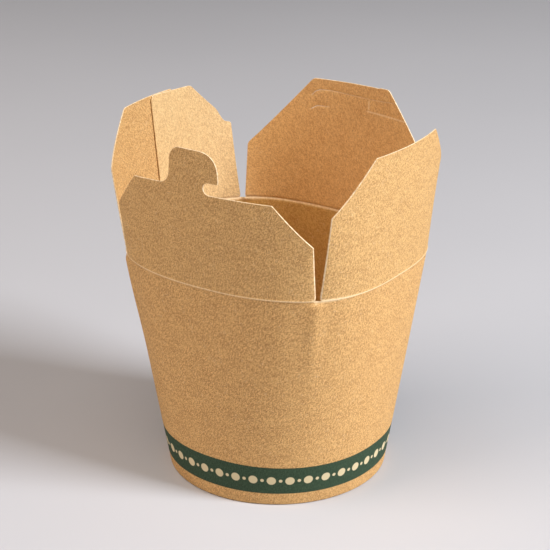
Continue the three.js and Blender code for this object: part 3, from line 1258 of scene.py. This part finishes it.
@dataclass
class BackFlap(Flap):
    """Back flap, with the slot that the tab goes in: an upper slit and a short lower one.

    The places of the slits and of the pressed lines are in millimetres, across the flap and above the crease.
    """

    slit_width: float = 0.1 * MM
    slit_step: float = 0.6 * MM
    wear_reach: float = 0.35 * MM
    cut_wear_span: Span = (-8 * MM, 14 * MM, 0.35, 0.6)
    press_step: float = 0.7 * MM
    press_reach: float = 0.55 * MM
    press_strength: float = 0.75
    top_step: tuple[float, float] = (-13.5 * MM, 0.25 * MM)
    slits: tuple = (
        ((18.5, 46.4), (16.2, 48.3), (11, 49), (-8.4, 48.2), (-21.8, 48.8)),
        ((18.4, 40.4), (15.7, 41.9), (11.2, 42.1)),
    )
    pressed: tuple = (
        ((-8.8, 43.0), (-17.6, 42.7), (-27.2, 42.4)),
        ((-8.5, 47.0), (-8.6, 45.2), (-8.7, 44.0)),
    )

    def upper_line(self) -> Array:
        """Edge above the crease, with a small step in its level top.

        Returns:
            Points of the edge, from right to left.
        """
        (wide, low), (narrow, high), (step, rise) = self.side_corner, self.top_corner, self.top_step
        return self.rounded([
            (self.foot, 0.0), (wide, low), (narrow, high - rise), (step + rise, high - rise), (step, high),
            (-narrow, high), (-wide, low), (-self.foot, 0.0),
        ])

    def cut_wear(self, across: Array) -> Array:
        """Most worn at the end where the tab goes in."""
        start, end, least, most = self.cut_wear_span
        return lerp(least, most, smoothstep(start, end, across))

    def middles(self, lines: tuple, step: float) -> list[Array]:
        """Middle lines of slits or pressed lines, with points no more than a step apart."""
        return [spaced(smooth_line(np.array(line) * MM), step) for line in lines]

    def cuts(self) -> list[Array]:
        """The slits as thin closed rings that turn right.

        Returns:
            A ring for each slit.
        """
        half = self.slit_width / 2
        rings = []
        for line in self.middles(self.slits, self.slit_step):
            ring = np.concatenate([beside(line, half, False), beside(line, -half, False)[::-1]])
            a, b = ring, np.roll(ring, -1, axis=0)
            turns_left = (a[:, 0] * b[:, 1] - b[:, 0] * a[:, 1]).sum() > 0
            rings.append(ring[::-1] if turns_left else ring)
        return rings

    def marks(self) -> tuple[Array, Array]:
        """Unmarked lines beside the slits, and faint pressed lines that go on from them.

        Returns:
            The points, and how much each is pressed or worn.
        """
        points, strength = [], []
        for line in self.middles(self.slits, self.slit_step):
            points += [beside(line, way * self.wear_reach, False) for way in (1, -1)]
            strength += [np.zeros(len(line))] * 2
        for line in self.middles(self.pressed, self.press_step):
            points += [line, *(beside(line, way * self.press_reach, False) for way in (1, -1))]
            strength += [np.full(len(line), self.press_strength), *[np.zeros(len(line))] * 2]
        return np.concatenate(points), np.concatenate(strength)


@dataclass
class OuterPly(Flap):
    """Front part of the left flap: the ply that passes outside in the overlap. Its inner face takes the
    darker outside board as painted shade, which dims the key light on it.
    """

    end: float = -10 * MM
    # Outside board on both faces: on the inner face it is painted shade.
    finishes: tuple[KraftFinish, KraftFinish] = (OUTSIDE, OUTSIDE)

    @property
    def foot_ends(self) -> tuple[float, float]:
        """Ends of the lower edge, from the ply's free edge on."""
        return self.end, self.foot

    def upper_line(self) -> Array:
        """Edge above the crease, from right to left and down the ply's free edge.

        Returns:
            Points of the edge.
        """
        (wide, low), (narrow, high) = self.side_corner, self.top_corner
        corner = self.halves[0] * 2 ** (-1 / self.form.crease_power)
        at_top = self.end * lerp(corner, self.plan.half, high / self.form.reach) / corner
        return self.rounded([(self.foot, 0.0), (wide, low), (narrow, high), (at_top, high), (self.end, 0.0)])


@dataclass
class InnerPly(Flap):
    """Back part of the left flap: the paler ply that passes inside, with a notch next to the back flap.

    The places of the free corner and of the notch are in millimetres, across the flap and above the crease.
    """

    end: float = 1.5 * MM
    gap: float = 0.03 * MM
    edge_lift: float = 0.14 * MM
    lift_reach: float = 2.2 * MM
    # Reach and top of the painted shade along the free edge.
    shade_reach: float = 1.5 * MM
    shade_top: float = 0.5 * MM
    finishes: tuple[KraftFinish, KraftFinish] = (OUTSIDE, INSIDE_PALE)
    free_corner: tuple = ((2.9, 50.6), (2.4, 51.8), (1.2, 52.7))
    far_corner: tuple[float, float] = (-21.8 * MM, 51.8 * MM)
    notch: tuple = ((-34.1, 39.3), (-36, 35.4), (-37.2, 33.5), (-40, 32.9))

    @property
    def foot_ends(self) -> tuple[float, float]:
        """Ends of the lower edge, up to the ply's free edge."""
        return -self.foot, self.end

    def upper_line(self) -> Array:
        """Edge above the crease: up the free edge, over its cut corner, and down past the notch."""
        corner, notch = (np.array(places) * MM for places in (self.free_corner, self.notch))
        return self.rounded([(self.end, 0.0), *corner, self.far_corner, *notch, (-self.foot, 0.0)])

    def outer_inset(self, across: Array, height: Array) -> Array:
        """Passes from the outline to inside the other ply, and lifts off it a little at the free edge."""
        lift = self.edge_lift * hump(across - self.end, self.lift_reach)
        return (self.form.board + self.gap) * self.form.second_ply(self.angle(across, height)) + lift

    def rim_finish(self, rim: Array, outline_size: int) -> Array:
        """Cut edge, but the darker inside board along the free edge, which is in shade: painted shade on that
        edge.

        Args:
            rim: Points round the rims.
            outline_size: How many of them are on the outline, here all; not used.

        Returns:
            Finish numbers of the three strips round the rims.
        """
        near = np.abs(rim[:, 0] - self.end) < self.shade_reach
        below = rim[:, 1] < self.top_corner[1] - self.shade_top
        return np.tile(np.where(near & below, 1, 2), 3)


@dataclass(frozen=True)
class Viewpoint:
    """Camera of the photograph's view."""

    distance: float = 626.694 * MM
    height: float = 334.454 * MM
    azimuth: float = math.radians(33.891)
    pitch: float = math.radians(22.093)
    yaw: float = math.radians(0.078)
    roll: float = math.radians(-0.191)
    lens: float = 110.05
    sensor: float = 36.0

    def make(self) -> bpy.types.Object:
        """Makes the camera: its forward direction is turned by azimuth and yaw, tipped down, then rolled.

        Returns:
            The camera.
        """
        data = bpy.data.cameras.new("camera")
        data.lens, data.sensor_width = self.lens, self.sensor
        camera = linked("camera", data)
        turn = self.azimuth + self.yaw
        level = Vector((-math.sin(turn), math.cos(turn), 0)) * math.cos(self.pitch)
        forward = level - Vector((0, 0, math.sin(self.pitch)))
        right = forward.cross(Vector((0, 0, 1))).normalized()
        up = right.cross(forward)
        c, s = math.cos(self.roll), math.sin(self.roll)
        axes = Matrix((right * c + up * s, up * c - right * s, -forward)).transposed()
        s, c = math.sin(self.azimuth), math.cos(self.azimuth)
        place = (self.distance * s, -self.distance * c, self.height)
        camera.matrix_world = Matrix.Translation(place) @ axes.to_4x4()
        bpy.context.scene.camera = camera
        return camera


@dataclass(frozen=True)
class SoftLight:
    """Square soft light that faces the box."""

    name: str
    azimuth: float
    elevation: float
    distance: float
    size: float
    power: float
    colour: tuple[float, float, float]

    def make(self) -> bpy.types.Object:
        """Makes the light, turned to the middle of the box.

        Returns:
            The light.
        """
        data = bpy.data.lights.new(self.name, "AREA")
        data.size, data.energy, data.color = self.size, self.power, self.colour
        light = linked(self.name, data)
        a, e = math.radians(self.azimuth), math.radians(self.elevation)
        way = Vector((math.sin(a) * math.cos(e), -math.cos(a) * math.cos(e), math.sin(e)))
        light.location = way * self.distance + Vector((0, 0, LIGHT_AIM))
        light.rotation_euler = way.to_track_quat("Z", "Y").to_euler()
        return light


@dataclass(frozen=True)
class Studio:
    """Pale floor, soft lights from the right, the left and above, and a faint even surround."""

    floor_half: float = 8.0
    surround: Colour = (1.0, 0.97, 0.93, 1.0)
    surround_strength: float = 0.02
    lights: tuple[SoftLight, ...] = (
        SoftLight("key", 99, 32, 1.8, 0.6, 44, (0.96, 0.96, 1.0)),
        SoftLight("fill", -36, 34, 1.8, 1.2, 15.5, (1.0, 0.84, 0.75)),
        SoftLight("overhead", 5, 72, 1.8, 1.2, 13, (1.0, 0.88, 0.8)),
    )

    def make(self) -> None:
        """Makes the floor, the lights and the surround."""
        half = self.floor_half
        mesh = bpy.data.meshes.new("floor")
        corners = [(-half, -half, 0), (half, -half, 0), (half, half, 0), (-half, half, 0)]
        mesh.from_pydata(corners, [], [(0, 1, 2, 3)])
        mesh.materials.append(FLOOR.make())
        floor = linked("floor", mesh)
        for light in self.lights:
            light.make()
        world = bpy.data.worlds.new("surround")
        world.use_nodes = True
        background = world.node_tree.nodes["Background"]
        background.inputs["Color"].default_value = self.surround
        background.inputs["Strength"].default_value = self.surround_strength
        bpy.context.scene.world = world
        bpy.context.scene.view_settings.view_transform = "Standard"


def flaps(form: BoxForm) -> list[Flap]:
    """The flaps, each with its sizes. The left one is two plies.

    Args:
        form: Sizes of the box.

    Returns:
        The flaps from the front round to the left.
    """
    side_plan = FlapPlan(60 * MM, 51.3 * MM, 44 * MM)
    side_cut = {
        "foot": 38.9 * MM, "side_corner": (40.1 * MM, 33.6 * MM), "top_corner": (21.8 * MM, 52.7 * MM),
    }
    left = {"node": "flap_left", "body": "left_flap", "plan": side_plan, **side_cut}
    return [
        FrontFlap(
            form, Side.FRONT, "front_flap_board", "flap_front", "front_flap",
            FlapPlan(54.4 * MM, 46.2 * MM, 46.7 * MM),
            foot=43.9 * MM, side_corner=(44.8 * MM, 22.1 * MM), top_corner=(31.3 * MM, 37.6 * MM),
        ),
        Flap(
            form, Side.RIGHT, "right_flap_board", "flap_right", "right_flap", side_plan, **side_cut,
            corner_round=0.5 * MM,
        ),
        BackFlap(
            form, Side.BACK, "back_flap_board", "flap_back", "back_flap",
            FlapPlan(56.2 * MM, 46.1 * MM, 47.6 * MM),
            foot=43.5 * MM, side_corner=(44.3 * MM, 23.6 * MM), top_corner=(18.2 * MM, 53.6 * MM),
        ),
        OuterPly(form, Side.LEFT, "left_flap_outer_ply", **left),
        InnerPly(form, Side.LEFT, "left_flap_inner_ply", **left),
    ]


def main() -> None:
    """Builds the box piece by piece, then the studio and the camera round it."""
    logging.basicConfig(level=logging.INFO, format="%(name)s: %(message)s")
    form = BoxForm()
    for part in (Wall(form), Base(form), *flaps(form)):
        piece = part.dress()
        log.info("built %s, %d faces", piece.name, len(piece.data.polygons))
    Studio().make()
    Viewpoint().make()


if __name__ == "__main__":
    main()
